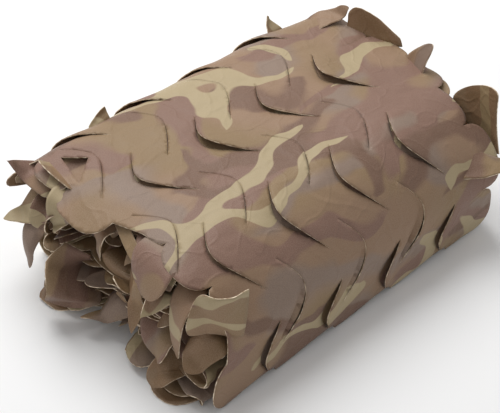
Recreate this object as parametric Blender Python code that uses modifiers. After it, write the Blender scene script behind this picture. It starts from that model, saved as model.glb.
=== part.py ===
"""A folded bundle of leaf-cut camouflage netting: one cloth, folded back and forth, its last run wrapped outside.

The cloth is laid out flat first, u along the bundle (X) and s along the fold path (in the YZ plane). The flat
piece gets its leafy ends and its open leaf cuts, is triangulated, placed on the folds and given its thickness.
"""

import math
from collections import namedtuple

import bpy
import numpy as np
from mathutils import Vector
from mathutils.geometry import delaunay_2d_cdt

# Driving sizes, in metres.
LENGTH = 0.335  # along X, between the ends of the body, without the leaves
WIDTH = 0.248  # along Y, between the middles of the cloth
HEIGHT = 0.124  # top of the wrap before the bundle is crowned
CLOTH = 0.002  # thickness of the cloth with its crumple
LAYERS = 9  # runs of the core, between the bottom and the top of the wrap
FRONT_SHOULDER = 0.070  # radii of the wrap's corners
BACK_SHOULDER = 0.026
BACK_FOOT = 0.016
SKIRT_GAP = 0.004  # the wrap's free edge above the surface

# Leaf cuts: one rounded < in each cell of the repeat, its tip lifted so that the cut stands open.
CUT_STEP = 0.0745
ROW_STEP = 0.108
FIRST_CUT = (-0.119, -0.036)  # u and s of the first tip, s from the top of the back shoulder
ROW_SHIFT = 0.014  # every other row moves this much to -X
CUT_ROWS = 4
CUT_COLUMNS = 5
CUT_ABOVE = 0.038  # how far a cut runs before and after its tip, along s
CUT_BELOW = 0.043
CUT_SLOPE = 0.72
CUT_ROUND = 0.006
OPENING = 0.0075
LEAF_LIFT = 0.007
LIFT_REACH = 0.022
EDGE_MARGIN = 0.010  # uncut cloth left between a cut and the wrap's free edge
END_MARGIN = 0.026  # and between a tip and the body's end

# Core runs, a row for each from the top down: how far the turn at its end stops short of the wrap, and how far
# its leaves reach past the body's left and right ends.
Fold = namedtuple("Fold", "inset left right")
FOLDS = [
    Fold(0.009, -0.002, 0.004),
    Fold(0.006, 0.002, 0.008),
    Fold(0.014, 0.006, 0.006),
    Fold(0.008, 0.010, 0.012),
    Fold(0.007, 0.014, 0.008),
    Fold(0.012, 0.010, 0.014),
    Fold(0.008, 0.020, 0.010),
    Fold(0.006, 0.024, 0.018),
    Fold(0.010, 0.028, 0.014),
]

# Leaves of the ends.
END_ROOT = 0.138  # where they start to bend
NOTCH = -0.014  # the cuts between them reach into the body
CORE_LEAF = 0.052  # usual width of a core leaf, with how much its width, reach and height vary
WIDTH_VARY = 0.26
REACH_VARY = 0.008
CORE_SWAY = 0.0022
LEAF_POINTS = (0.5, 1.15)  # from a blunt leaf to a pointed one

# Leaves of the wrap, a row for each, from the bottom run over the back, the top and the front. Width is along
# the fold path, reach is past the body's end, curl is the bend of the leaf, 1/m, with + turning outwards, and
# point is its sharpness.
Leaf = namedtuple("Leaf", "width reach curl point")
LEAVES_LEFT = [
    Leaf(0.052, 0.029, 0.0, 0.7),
    Leaf(0.050, 0.012, 0.0, 0.5),
    Leaf(0.046, 0.018, 0.0, 0.9),
    Leaf(0.056, 0.028, 0.0, 0.7),
    Leaf(0.050, 0.018, 0.0, 0.6),
    Leaf(0.044, 0.012, 1.0, 1.0),
    Leaf(0.046, 0.022, 2.0, 1.1),
    Leaf(0.046, 0.046, -5.0, 1.1),
    Leaf(0.060, 0.034, -11.0, 0.5),
    Leaf(0.052, 0.030, -9.0, 0.6),
    Leaf(0.054, 0.022, -6.0, 0.7),
    Leaf(0.062, 0.020, 4.0, 0.5),
    Leaf(0.050, 0.012, 2.0, 0.7),
]
LEAVES_RIGHT = [
    Leaf(0.050, 0.018, 0.0, 0.7),
    Leaf(0.056, 0.024, 0.0, 0.5),
    Leaf(0.046, 0.016, 0.0, 0.9),
    Leaf(0.052, 0.022, 0.0, 0.6),
    Leaf(0.050, 0.016, 0.0, 0.6),
    Leaf(0.046, 0.024, 1.0, 0.9),
    Leaf(0.050, 0.032, 4.0, 0.6),
    Leaf(0.056, 0.044, 8.0, 0.5),
    Leaf(0.046, 0.044, 8.0, 1.0),
    Leaf(0.052, 0.030, 2.0, 0.6),
    Leaf(0.046, 0.028, 0.0, 0.8),
    Leaf(0.066, 0.034, 3.0, 0.45),
    Leaf(0.052, 0.018, 1.0, 0.6),
]

# The settled form of the whole bundle.
CROWN = 0.035  # share by which the middle is higher
END_DROP = 0.10  # share by which the ends are lower
BULGE = 0.004
END_WAVE = 0.0060
SKIRT_FLARE = 0.007  # how far the front side's foot stands out at the left end
MIDDLE = (-0.00037, -0.00172)  # middle of the settled bundle's box, which becomes the origin

# Fineness of the mesh.
TURN_STEP = math.radians(36)
BEND_STEP = math.radians(22.5)
CORE_STEP = 0.050
WRAP_STEP = 0.024
TIGHT = 0.020  # a bend under this radius keeps straight rows of edges
CORE_COLUMNS = np.linspace(-0.143, 0.143, 7)
WRAP_COLUMNS = np.linspace(-0.143, 0.143, 13)
LEAF_COLUMNS = [0.161, 0.179]
CLEARANCE = 0.007  # free points keep this far from cuts and edges

BOTTOM = CLOTH / 2
TOP = HEIGHT - CLOTH / 2
PITCH = (TOP - BOTTOM) / (LAYERS + 1)

Section = namedtuple("Section", "start length turn y z heading")


def clear_scene():
    for thing in list(bpy.data.objects):
        bpy.data.objects.remove(thing, do_unlink=True)


def wall(z, shoulder):
    """Half the wrap's width at a height, where its upper corner is rounded."""
    rise = max(z - (TOP - shoulder), 0.0)
    return WIDTH / 2 - shoulder + math.sqrt(max(shoulder**2 - rise**2, 0.0))


def fold_sections():
    """The fold path as straight runs and bends, from the inner end of the cloth to the wrap's free edge."""
    sections = []
    here = {"s": 0.0, "y": 0.0, "z": BOTTOM + LAYERS * PITCH, "heading": math.pi}
    here["y"] = wall(here["z"], BACK_SHOULDER) - 0.016

    def go(length, turn=0.0):
        sections.append(Section(here["s"], length, turn, here["y"], here["z"], here["heading"]))
        y, z, heading = along(sections[-1], length)
        here.update(s=here["s"] + length, y=float(y), z=float(z), heading=float(heading))

    for layer, fold in zip(range(LAYERS, 0, -1), FOLDS):
        to_front = layer % 2 == 1
        reach = wall(here["z"], FRONT_SHOULDER if to_front else BACK_SHOULDER) - fold.inset - PITCH / 2
        go(abs(here["y"] - (-reach if to_front else reach)))
        go(math.pi * PITCH / 2, math.pi if to_front else -math.pi)
    go(WIDTH / 2 - BACK_FOOT - here["y"])
    go(math.pi / 2 * BACK_FOOT, math.pi / 2)
    go(TOP - BACK_SHOULDER - here["z"])
    go(math.pi / 2 * BACK_SHOULDER, math.pi / 2)
    go(WIDTH - BACK_SHOULDER - FRONT_SHOULDER)
    go(math.pi / 2 * FRONT_SHOULDER, math.pi / 2)
    go(here["z"] - SKIRT_GAP)
    return sections


def along(section, distance):
    """Y, Z and heading at a distance into a run or bend."""
    heading = section.heading + section.turn * distance / section.length
    if section.turn == 0.0:
        return (
            section.y + math.cos(section.heading) * distance,
            section.z + math.sin(section.heading) * distance,
            heading,
        )
    radius = section.length / section.turn
    return (
        section.y + radius * (np.sin(heading) - math.sin(section.heading)),
        section.z - radius * (np.cos(heading) - math.cos(section.heading)),
        heading,
    )


SECTIONS = fold_sections()
CLOTH_LENGTH = SECTIONS[-1].start + SECTIONS[-1].length
WRAP_START = SECTIONS[2 * LAYERS].start
TOP_START = SECTIONS[-3].start  # s of the top of the back shoulder


def path_at(s):
    """Y, Z and heading of the fold path at each s."""
    y, z, heading = np.zeros_like(s), np.zeros_like(s), np.zeros_like(s)
    starts = np.array([section.start for section in SECTIONS])
    number = np.clip(np.searchsorted(starts, s, side="right") - 1, 0, None)
    for i, section in enumerate(SECTIONS):
        here = number == i
        y[here], z[here], heading[here] = along(section, s[here] - section.start)
    return y, z, heading


def end_leaves(side):
    """Every leaf along one end of the cloth, as one array for each of its values."""
    leaves = []
    count = round(WRAP_START / CORE_LEAF)
    widths = [1 + WIDTH_VARY * math.sin(2.1 * i + side) for i in range(count)]
    start = 0.0
    for i, width in enumerate(widths):
        width *= WRAP_START / sum(widths)
        run = sum(section.start <= start + width / 2 for section in SECTIONS) - 1
        fold = FOLDS[min(run // 2, LAYERS - 1)]
        reach = (fold.left if side < 0 else fold.right) + REACH_VARY * math.cos(3.9 * i + side)
        share = (0.618 * i + (0.31 if side > 0 else 0.77)) % 1.0
        point = LEAF_POINTS[0] + (LEAF_POINTS[1] - LEAF_POINTS[0]) * share
        leaves.append((start, width, reach, 0.0, point, CORE_SWAY * math.cos(2.4 * i + side)))
        start += width
    table = LEAVES_LEFT if side < 0 else LEAVES_RIGHT
    scale = (CLOTH_LENGTH - WRAP_START) / sum(leaf.width for leaf in table)
    for leaf in table:
        leaves.append((start, leaf.width * scale, leaf.reach, leaf.curl, leaf.point, 0.0))
        start += leaf.width * scale
    return dict(zip(("start", "width", "reach", "curl", "point", "sway"), np.array(leaves).T))


LEAVES = {-1: end_leaves(-1), 1: end_leaves(1)}


def end_edge(s, side):
    """How far the cloth reaches past the body's end at each s."""
    leaves = LEAVES[side]
    at = np.clip(np.searchsorted(leaves["start"], s + 1e-9, side="right") - 1, 0, None)
    share = np.clip((s - leaves["start"][at]) / leaves["width"][at], 0.0, 1.0)
    form = np.sin(math.pi * share**0.85) ** leaves["point"][at]
    return NOTCH + (leaves["reach"][at] - NOTCH) * form


def between_leaves(s, side, value):
    """A leaf's value at each s, eased from one leaf's middle to the next one's."""
    leaves = LEAVES[side]
    middle = leaves["start"] + leaves["width"] / 2
    at = np.clip(np.searchsorted(middle, s) - 1, 0, len(middle) - 2)
    share = np.clip((s - middle[at]) / (middle[at + 1] - middle[at]), 0.0, 1.0)
    eased = share**2 * (3 - 2 * share)
    return leaves[value][at] * (1 - eased) + leaves[value][at + 1] * eased


def cut_tips():
    """U, s, run before and run after the tip of every open leaf cut."""
    tips = []
    for row in range(CUT_ROWS):
        s = TOP_START + FIRST_CUT[1] + row * ROW_STEP
        below = min(CUT_BELOW, CLOTH_LENGTH - EDGE_MARGIN - s)
        for column in range(CUT_COLUMNS):
            u = FIRST_CUT[0] + column * CUT_STEP - (ROW_SHIFT if row % 2 == 0 else 0.0)
            if abs(u) < LENGTH / 2 - END_MARGIN:
                tips.append((u, s, CUT_ABOVE, below))
    return tips


CUTS = cut_tips()


def cut_line(cut, run):
    """U of a cut's leaf edge, and the width of its opening, at a run along s from the tip."""
    u, _, above, below = cut
    line = u + np.sqrt(CUT_ROUND**2 + (CUT_SLOPE * run) ** 2) - CUT_ROUND
    middle, half = (below - above) / 2, (below + above) / 2
    share = np.clip(1 - ((run - middle) / half) ** 2, 0.0, 1.0)
    return line, share


def cut_hole(cut):
    """The closed outline of one opening: down its leaf edge and back up its other edge."""
    _, s, above, below = cut
    runs = np.array([-1.0, -0.62, -0.3, -0.1, 0.0, 0.1, 0.3, 0.62, 1.0])
    runs = np.where(runs < 0, runs * above, runs * below)
    line, share = cut_line(cut, runs)
    leaf_edge = list(zip(line, s + runs))
    other_edge = list(zip(line - OPENING * share, s + runs))[1:-1]
    return leaf_edge + other_edge[::-1]


def leaf_lift(u, s):
    """How far each point stands out from the wrap beside the open cuts."""
    lift = np.zeros_like(u)
    for cut in CUTS:
        run = s - cut[1]
        line, share = cut_line(cut, run)
        beside = u - line
        near = (beside > -0.0004) & (share > 0)
        lift += np.where(near, LEAF_LIFT * share**2 * np.exp(-((beside / LIFT_REACH) ** 2)), 0.0)
    return lift


def settle(x, y, z):
    """The bundle's settled form: crowned, lower at its ends, with bulging sides and wavy ends."""
    far = np.clip(np.abs(x) / (LENGTH / 2), 0.0, 1.2)
    across = np.clip(np.abs(y) / (WIDTH / 2), 0.0, 1.0)
    rise = CROWN * (1 - far**2) * (1 - across**2) - END_DROP * np.clip(far - 0.55, 0, 1) ** 2 * 2.2
    up = np.clip(z / HEIGHT, 0.0, 1.0)
    end = np.clip((np.abs(x) - 0.10) / 0.10, 0.0, 1.0) ** 2
    wave = END_WAVE * end * np.sin(y / 0.030 + 1.3 * np.sign(x)) * np.sin(z / 0.014 + 0.6)
    lifted = np.clip((z - BOTTOM) / 0.035, 0.0, 1.0)
    flare = SKIRT_FLARE * (1 - up) ** 2 * np.clip(0.5 - x / LENGTH, 0.0, 1.2)
    out = np.sign(y) * BULGE * np.sin(math.pi * up) * across**2 - np.where(y < 0, flare * across**4, 0.0)
    lean = 0.006 * end * np.sign(x) * np.sin(y / 0.045 + z / 0.050) * lifted
    return x + lean, y + out, z + (z - BOTTOM) * rise + wave * lifted


def place(flat):
    """Points of the flat cloth, as u and s, on the folded bundle."""
    u, s = flat[:, 0], flat[:, 1]
    y, z, heading = path_at(s)
    side = np.where(u < 0, -1, 1)
    past = np.maximum(np.abs(u) - END_ROOT, 0.0)
    curl, sway = np.zeros_like(u), np.zeros_like(u)
    for sign in (-1, 1):
        here = side == sign
        curl[here] = between_leaves(s[here], sign, "curl")
        sway[here] = between_leaves(s[here], sign, "sway")
    bend = np.where(np.abs(curl) < 1e-6, 1e-6, curl)
    x = side * (np.minimum(np.abs(u), END_ROOT) + np.sin(bend * past) / bend)
    out = (1 - np.cos(bend * past)) / bend + leaf_lift(u, s)
    y = y + np.sin(heading) * out
    raised = np.clip((z - BOTTOM) / PITCH, 0.0, 1.0)
    z = z - np.cos(heading) * out + sway * raised * (past / 0.04) ** 2
    x, y, z = settle(x, y, z)
    return np.stack([x - MIDDLE[0], y - MIDDLE[1], z], axis=1)


def mesh_rows():
    """S of every mesh row, and of those that lie in tight bends."""
    rows, tight = [], set()
    for section in SECTIONS:
        in_core = section.start < WRAP_START
        if section.turn:
            steps = max(1, round(abs(section.turn) / (TURN_STEP if in_core else BEND_STEP)))
        else:
            steps = math.ceil(section.length / (CORE_STEP if in_core else WRAP_STEP))
        here = [round(section.start + section.length * i / steps, 6) for i in range(steps + 1)]
        rows += here[:-1]
        if section.turn and section.length < TIGHT * abs(section.turn):
            tight |= set(here)
    return rows + [round(CLOTH_LENGTH, 6)], tight


def edge_samples(side, rows):
    """S of the outline's points along one end: points on every leaf, and each mesh row."""
    samples = list(rows)
    for start, width in zip(LEAVES[side]["start"], LEAVES[side]["width"]):
        for share in (0.0, 0.07, 0.2, 0.35, 0.52, 0.7, 0.86, 0.95):
            s = start + width * share
            if min(abs(s - other) for other in samples) > (0.0025 if share else 0.0008):
                samples.append(s)
    return sorted(samples)


def inside(points, loop):
    """Which points lie inside a closed outline."""
    x, y = points[:, 0], points[:, 1]
    found = np.zeros(len(points), bool)
    for (x1, y1), (x2, y2) in zip(loop, loop[1:] + loop[:1]):
        if y1 == y2:
            continue
        crosses = ((y1 > y) != (y2 > y)) & (x < (x2 - x1) * (y - y1) / (y2 - y1) + x1)
        found ^= crosses
    return found


def free_points(rows, outline, holes):
    """Points inside the cloth, clear of its cuts and edges."""
    points = []
    for s in rows[1:-1]:
        points += [(u, s) for u in (CORE_COLUMNS if s < WRAP_START else WRAP_COLUMNS)]
        points += [(side * u, s) for u in LEAF_COLUMNS for side in (-1, 1)]
    for cut in CUTS:
        for run in (-0.6 * cut[2], 0.0, 0.6 * cut[3]):
            points.append((cut_line(cut, run)[0] + 0.012, cut[1] + run))
    points = np.array(points)
    fixed = np.array([p for loop in [outline] + holes for p in loop])
    gaps = np.linalg.norm(points[:, None] - fixed[None], axis=2).min(axis=1)
    keep = (gaps > CLEARANCE) & inside(points, outline)
    for hole in holes:
        keep &= ~inside(points, hole)
    return points[keep]


def flat_cloth():
    """The flat cloth as points and triangles, with its leafy ends and its openings."""
    rows, tight = mesh_rows()
    left = [(-LENGTH / 2 - float(end_edge(np.array([s]), -1)[0]), s) for s in edge_samples(-1, rows)]
    right = [(LENGTH / 2 + float(end_edge(np.array([s]), 1)[0]), s) for s in edge_samples(1, rows)]
    short = [(u, CLOTH_LENGTH) for u in WRAP_COLUMNS]
    first = [(u, 0.0) for u in CORE_COLUMNS[::-1]]
    outline = left + short + right[::-1] + first
    holes = [cut_hole(cut) for cut in CUTS]
    points, edges = [], []
    for loop in [outline] + holes:
        start = len(points)
        points += loop
        edges += [(start + i, start + (i + 1) % len(loop)) for i in range(len(loop))]
    points += [tuple(p) for p in free_points(rows, outline, holes)]
    columns = {}
    for i, (u, s) in enumerate(points):
        columns.setdefault(round(s, 6), []).append((u, i))
    for s in tight:
        line = sorted(columns[s])
        edges += [(a[1], b[1]) for a, b in zip(line, line[1:])]
    result = delaunay_2d_cdt([Vector(p) for p in points], edges, [], 0, 1e-7, False)
    flat = np.array([tuple(p) for p in result[0]])
    faces = np.array([face for face in result[2]])
    middle = flat[faces].mean(axis=1)
    keep = inside(middle, outline)
    for hole in holes:
        keep &= ~inside(middle, hole)
    return flat, faces[keep]


def camouflage_material():
    material = bpy.data.materials.new("camouflage cloth")
    material.use_nodes = True
    shader = material.node_tree.nodes["Principled BSDF"]
    shader.inputs["Base Color"].default_value = (0.29, 0.22, 0.15, 1.0)
    shader.inputs["Roughness"].default_value = 0.62
    shader.inputs["Metallic"].default_value = 0.0
    return material


def build_netting(collection):
    flat, faces = flat_cloth()
    used, faces = np.unique(faces, return_inverse=True)
    mesh = bpy.data.meshes.new("netting")
    mesh.from_pydata(place(flat[used]).tolist(), [], faces.reshape(-1, 3).tolist())
    mesh.materials.append(camouflage_material())
    mesh.shade_smooth()
    netting = bpy.data.objects.new("netting", mesh)
    collection.objects.link(netting)
    thickness = netting.modifiers.new("thickness", "SOLIDIFY")
    thickness.thickness = CLOTH
    thickness.offset = 0.0
    thickness.use_even_offset = False
    return netting


def main():
    clear_scene()
    collection = bpy.data.collections.new("folded camouflage netting")
    bpy.context.scene.collection.children.link(collection)
    build_netting(collection)


main()
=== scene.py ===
import math
import random
from collections import namedtuple

import bpy
import numpy as np
from mathutils import Matrix, Vector
from mathutils.bvhtree import BVHTree
from mathutils.geometry import delaunay_2d_cdt
from mathutils.kdtree import KDTree


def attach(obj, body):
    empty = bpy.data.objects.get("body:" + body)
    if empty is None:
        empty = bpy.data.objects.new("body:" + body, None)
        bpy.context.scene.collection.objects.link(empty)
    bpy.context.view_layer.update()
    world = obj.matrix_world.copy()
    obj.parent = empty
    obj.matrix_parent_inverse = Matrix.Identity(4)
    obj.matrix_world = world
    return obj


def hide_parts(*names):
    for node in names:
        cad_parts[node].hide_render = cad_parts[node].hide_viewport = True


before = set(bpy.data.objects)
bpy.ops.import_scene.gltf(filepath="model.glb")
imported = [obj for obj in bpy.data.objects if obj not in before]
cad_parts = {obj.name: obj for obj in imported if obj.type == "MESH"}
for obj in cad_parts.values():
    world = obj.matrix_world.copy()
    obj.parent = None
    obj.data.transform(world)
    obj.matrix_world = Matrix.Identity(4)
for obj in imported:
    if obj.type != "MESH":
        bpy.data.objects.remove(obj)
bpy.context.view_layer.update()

# A bundle of camouflage netting. The cloth is laid out flat first, with u along the bundle and s along the
# fold path, in metres. A Geometry Nodes tree then lays it on the fold path and crumples it.

print("frame loaded")

# Sums of nodes, for the folds and for the materials.


def plug(socket, value):
    if isinstance(value, Wire):
        value = value.socket
    if isinstance(value, bpy.types.NodeSocket):
        socket.id_data.links.new(value, socket)
    else:
        socket.default_value = value


def asMethod(operation, swapped=False):
    # a method that adds one Math node, with the wire as its first value, or as its last where swapped
    def method(self, *others):
        node = self.socket.id_data.nodes.new("ShaderNodeMath")
        node.operation = operation
        for socket, value in zip(node.inputs, (*others, self) if swapped else (self, *others)):
            plug(socket, value)
        return Wire(node.outputs[0])

    return method


class Wire:
    # one value in a sum of nodes

    def __init__(self, socket):
        self.socket = socket

    __add__ = asMethod("ADD")
    __radd__ = asMethod("ADD", swapped=True)
    __sub__ = asMethod("SUBTRACT")
    __rsub__ = asMethod("SUBTRACT", swapped=True)
    __mul__ = asMethod("MULTIPLY")
    __rmul__ = asMethod("MULTIPLY", swapped=True)
    __truediv__ = asMethod("DIVIDE")
    power = asMethod("POWER")
    sin = asMethod("SINE")
    cos = asMethod("COSINE")
    size = asMethod("ABSOLUTE")
    sign = asMethod("SIGN")
    atLeast = asMethod("MAXIMUM")
    atMost = asMethod("MINIMUM")

    def within(self, low=0.0, high=1.0):
        return self.atLeast(low).atMost(high)

    def eased(self, low, high):
        share = ((self - low) / (high - low)).within()
        return share * share * (3.0 - 2.0 * share)


class Tree:
    # builds one node tree

    def __init__(self, tree):
        self.tree = tree

    def node(self, kind, settings, values):
        node = self.tree.nodes.new(kind)
        for name, value in settings.items():
            setattr(node, name, value)
        for name, value in values.items():
            plug(node.inputs[name], value)
        return node

    def split(self, vector):
        node = self.node("ShaderNodeSeparateXYZ", {}, {0: vector})
        return [Wire(output) for output in node.outputs]

    def join(self, x, y, z):
        return self.node("ShaderNodeCombineXYZ", {}, {0: x, 1: y, 2: z}).outputs[0]

    def vectors(self, operation, *values):
        return self.node("ShaderNodeVectorMath", {"operation": operation}, dict(enumerate(values))).outputs[0]

    def noise(self, place, scale, detail=2.0, offset=(0.0, 0.0, 0.0), output=0):
        moved = self.vectors("ADD", place, offset)
        node = self.node("ShaderNodeTexNoise", {}, {"Vector": moved, "Scale": scale, "Detail": detail})
        return Wire(node.outputs[output])

    def mix(self, share, first, second):
        return self.node("ShaderNodeMix", {"data_type": "RGBA"}, {0: share, 6: first, 7: second}).outputs[2]


def linked(name, data):
    item = bpy.data.objects.new(name, data)
    bpy.context.scene.collection.objects.link(item)
    return item


bundle = {
    "length": 0.335,  # of the body, without its leaves
    "width": 0.248,
    "height": 0.124,
    "lowest": 0.001,  # middle of the lowest run
    "layers": 9,  # runs between the lowest and the highest
    "frontShoulder": 0.070,
    "backShoulder": 0.026,
    "backFoot": 0.016,
    "skirtGap": 0.004,
    "start": 0.016,  # of the cloth, from the back wall
    "turnSteps": 10,  # rows of points on a half turn
    "pathSteps": 24,  # points of the fold path on a turn
}
bundle["top"] = bundle["height"] - bundle["lowest"]
bundle["pitch"] = (bundle["top"] - bundle["lowest"]) / (bundle["layers"] + 1)

# A row for each core run, from the top down: how far its turn stops short of the wrap, and how far its leaves
# reach past the body's two ends.
Fold = namedtuple("Fold", "inset left right")
folds = [
    Fold(0.009, -0.010, -0.002),
    Fold(0.006, -0.004, 0.004),
    Fold(0.014, -0.008, 0.000),
    Fold(0.008, 0.002, 0.006),
    Fold(0.007, 0.004, 0.002),
    Fold(0.012, 0.000, 0.006),
    Fold(0.008, 0.008, 0.004),
    Fold(0.006, 0.012, 0.010),
    Fold(0.010, 0.020, 0.012),
]

Section = namedtuple("Section", "start length turn y z heading")


def wallAt(z, shoulder):
    rise = max(z - (bundle["top"] - shoulder), 0.0)
    return bundle["width"] / 2 - shoulder + math.sqrt(max(shoulder**2 - rise**2, 0.0))


def alongSection(section, distance):
    heading = section.heading + section.turn * distance / section.length
    if section.turn == 0.0:
        y = section.y + math.cos(section.heading) * distance
        return y, section.z + math.sin(section.heading) * distance, heading
    radius = section.length / section.turn
    y = section.y + radius * (math.sin(heading) - math.sin(section.heading))
    return y, section.z - radius * (math.cos(heading) - math.cos(section.heading)), heading


def foldSections():
    sections = []
    pitch, backShoulder, frontShoulder = bundle["pitch"], bundle["backShoulder"], bundle["frontShoulder"]
    here = {"s": 0.0, "z": bundle["lowest"] + bundle["layers"] * pitch, "heading": math.pi}
    here["y"] = wallAt(here["z"], backShoulder) - bundle["start"]

    def go(length, turn=0.0):
        sections.append(Section(here["s"], length, turn, here["y"], here["z"], here["heading"]))
        here["y"], here["z"], here["heading"] = alongSection(sections[-1], length)
        here["s"] += length

    for layer, fold in zip(range(bundle["layers"], 0, -1), folds):
        toFront = layer % 2 == 1
        reach = wallAt(here["z"], frontShoulder if toFront else backShoulder) - fold.inset - pitch / 2
        go(abs(here["y"] - (-reach if toFront else reach)))
        go(math.pi * pitch / 2, math.pi if toFront else -math.pi)
    go(bundle["width"] / 2 - bundle["backFoot"] - here["y"])
    go(math.pi / 2 * bundle["backFoot"], math.pi / 2)
    go(bundle["top"] - backShoulder - here["z"])
    go(math.pi / 2 * backShoulder, math.pi / 2)
    go(bundle["width"] - backShoulder - frontShoulder)
    go(math.pi / 2 * frontShoulder, math.pi / 2)
    go(here["z"] - bundle["skirtGap"])
    return sections


sections = foldSections()
clothLength = sections[-1].start + sections[-1].length
wrapStart = sections[2 * bundle["layers"]].start
footStart = sections[-6].start
topStart = sections[-3].start  # s at the top of the back shoulder


def pointsOfFolds():
    points = []
    for section in sections:
        steps = 1 if section.turn == 0.0 else bundle["pathSteps"]
        for step in range(steps):
            distance = section.length * step / steps
            points.append((section.start + distance, *alongSection(section, distance)[:2]))
    points.append((clothLength, *alongSection(sections[-1], sections[-1].length)[:2]))
    return np.array(points)


foldPoints = pointsOfFolds()


def foldPathObject():
    curve = bpy.data.curves.new("fold path", "CURVE")
    curve.dimensions = "3D"
    spline = curve.splines.new("POLY")
    points = [(0.0, y, z, 1.0) for _, y, z in foldPoints]
    spline.points.add(len(points) - 1)
    spline.points.foreach_set("co", np.array(points).ravel())
    return linked("fold path", curve)


ends = {
    "root": 0.138,  # where the leaves start to bend
    "farthest": 0.22,  # past every leaf
    "coreLeaf": 0.050,  # about the width of a leaf in the core
    "widthVary": 0.30,
    "reachVary": 0.006,
    "innerReach": (0.2, 1.0),  # shares by which the inner ply's leaves are shorter
    "notchDepth": (0.006, 0.022),
    "curlVary": 7.0,
    "liftVary": 0.003,
    "hookVary": 0.010,
    "cupVary": 4.0,
    "leans": [0.65, 0.85, 1.0, 1.35],
    "flanks": (1.1, 2.9),
    "blunt": 1.6,
    "crease": 0.45,
    "creaseRound": 0.0007,
    "creaseSink": 0.004,
    "own": 0.012,  # from the notches to where a leaf has its own bend
    "free": 0.035,  # from the notches to where it is free of its layer
    "blend": 0.05,  # of the cloth, before the wrap
    "coreEdge": 0.004,
    "edgeShares": (0.0, 0.03, 0.08, 0.93, 0.975),  # points near the notches, as shares of a leaf's width
    "nearest": 0.0006,  # least distance between two points of an edge
}

# Where the layers at the left end stand back: under the top, at the middle of the foot and at the back.
Hollow = namedtuple("Hollow", "y z width height depth")
hollows = [
    Hollow(0.020, 0.084, 0.100, 0.066, 0.042),
    Hollow(0.004, 0.006, 0.070, 0.080, 0.022),
    Hollow(0.140, 0.030, 0.130, 0.120, 0.030),
]

# The leaves of the wrap. Width is along the fold path, reach and notch are past the body's end, and the notch
# is the one before the leaf. Curl is the bend in 1/m, + outwards, form is the tip from pointed 0 to square 1,
# lean puts the tip before or after the leaf's middle, hook shifts it along the path, and cup bends it across.
Leaf = namedtuple("Leaf", "width reach notch curl form lean hook cup", defaults=(0.0, 0.0))
leavesLeft = [
    Leaf(0.052, 0.029, -0.010, 0.0, 0.5, 0.85),
    Leaf(0.050, 0.012, -0.014, 0.0, 0.8, 1.1),
    Leaf(0.046, 0.018, -0.016, 0.0, 0.3, 0.8),
    Leaf(0.056, 0.028, -0.010, 0.0, 0.6, 0.85),
    Leaf(0.050, 0.018, -0.014, 0.0, 0.7, 1.0),
    Leaf(0.044, 0.012, -0.016, 1.0, 0.3, 0.85),
    Leaf(0.046, 0.020, -0.014, 2.0, 0.2, 0.7, 0.006),
    Leaf(0.046, 0.010, -0.012, -3.0, 0.8, 1.2, 0.0, 3.0),
    Leaf(0.060, 0.019, -0.006, -7.0, 0.7, 0.60, 0.004, -2.0),
    Leaf(0.052, -0.012, -0.004, -3.0, 0.9, 1.0),
    Leaf(0.054, 0.000, -0.018, -4.0, 0.6, 1.2),
    Leaf(0.062, -0.010, -0.020, 2.0, 0.8, 0.9, 0.0, 3.0),
    Leaf(0.050, 0.012, -0.004, 2.0, 0.5, 1.0),
]
leavesRight = [
    Leaf(0.050, 0.018, -0.010, 0.0, 0.6, 0.85),
    Leaf(0.056, 0.024, -0.014, 0.0, 0.8, 1.0),
    Leaf(0.046, 0.016, -0.012, 0.0, 0.4, 0.8),
    Leaf(0.052, 0.022, -0.016, 0.0, 0.7, 0.85),
    Leaf(0.050, 0.016, -0.010, 0.0, 0.6, 1.0),
    Leaf(0.046, 0.022, -0.014, 1.0, 0.3, 0.85),
    Leaf(0.050, 0.028, -0.010, 2.0, 0.5, 0.9, 0.0, 2.0),
    Leaf(0.056, 0.032, -0.004, 3.0, 0.8, 1.3),
    Leaf(0.046, 0.038, 0.024, 3.0, 0.7, 0.9),
    Leaf(0.052, 0.030, 0.028, 1.0, 0.8, 0.6),
    Leaf(0.046, 0.012, 0.011, -1.0, 0.8, 0.8),
    Leaf(0.066, 0.022, -0.002, 3.0, 0.8, 1.0, 0.0, 3.0),
    Leaf(0.052, 0.014, -0.006, 1.0, 0.6, 0.85),
]


def smooth(share):
    share = np.clip(share, 0.0, 1.0)
    return share * share * (3 - 2 * share)


def hollowAt(y, z, chosen=hollows):
    depth, steepness = 0.0, 1.6
    for hollow in chosen:
        across = np.clip(1 - ((y - hollow.y) / (hollow.width / 2)) ** 2, 0.0, 1.0)
        up = np.clip(1 - ((z - hollow.z) / (hollow.height / 2)) ** 2, 0.0, 1.0)
        depth = depth + hollow.depth * smooth(steepness * across) * smooth(steepness * up)
    return depth


def standBack(s, side):
    # how far a layer's edge is drawn in
    if side > 0:
        return np.zeros_like(s)
    y, z = (np.interp(s, foldPoints[:, 0], foldPoints[:, i]) for i in (1, 2))
    return np.where(s < wrapStart, hollowAt(y, z), hollowAt(y, z, hollows[1:]))


def coreReach(s, side):
    run = sum(section.start <= s for section in sections) - 1
    fold = folds[min(run // 2, bundle["layers"] - 1)]
    return fold.left if side < 0 else fold.right


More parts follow.
